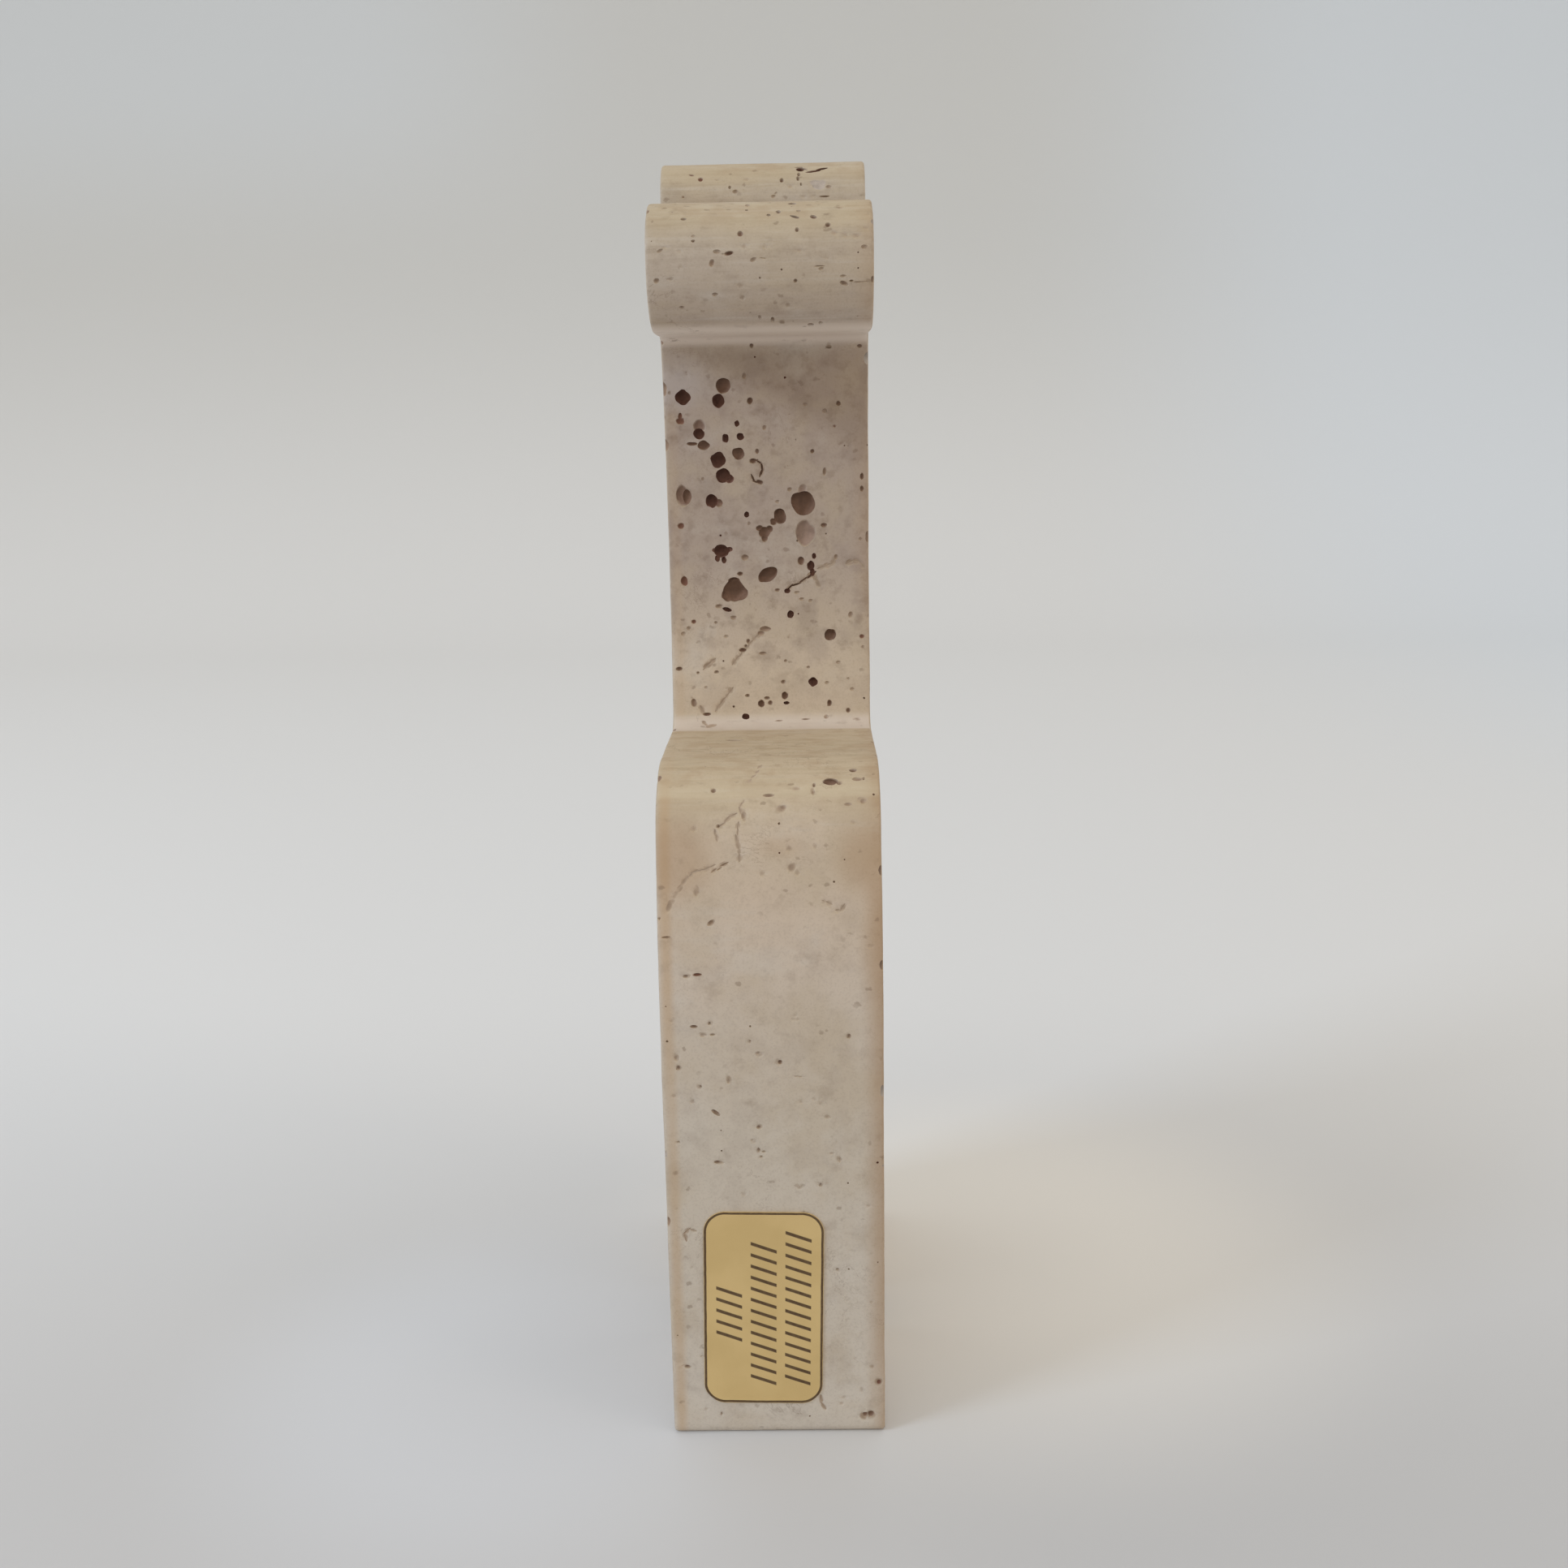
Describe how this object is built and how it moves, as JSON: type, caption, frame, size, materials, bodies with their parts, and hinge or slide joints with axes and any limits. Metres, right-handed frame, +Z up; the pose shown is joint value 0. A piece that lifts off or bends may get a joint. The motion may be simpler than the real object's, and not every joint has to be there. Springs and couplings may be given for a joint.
{
  "type": "giraffe statuette",
  "caption": "Flat stone giraffe cut in outline from one slab, looking back over its rump, with a round muzzle, a stub horn and a small blank foil sticker on the hind leg.",
  "frame": {"origin": "on the surface the statuette stands on, under the middle of its bounding box", "axes": "+Z up, X across the slab's thickness, Y from the rump (-Y) to the chest (+Y)"},
  "size_m": [0.03, 0.0652, 0.1773],
  "materials": {
    "travertine": "honed cream travertine with open round pits, fine specks, warm patina on the edges and upward faces",
    "gold_foil": "matt gold foil paper with a thin dark outline and three rows of plain dark strokes"
  },
  "bodies": {
    "root": {"giraffe": "travertine", "sticker": "gold_foil"}
  },
  "joints": []
}
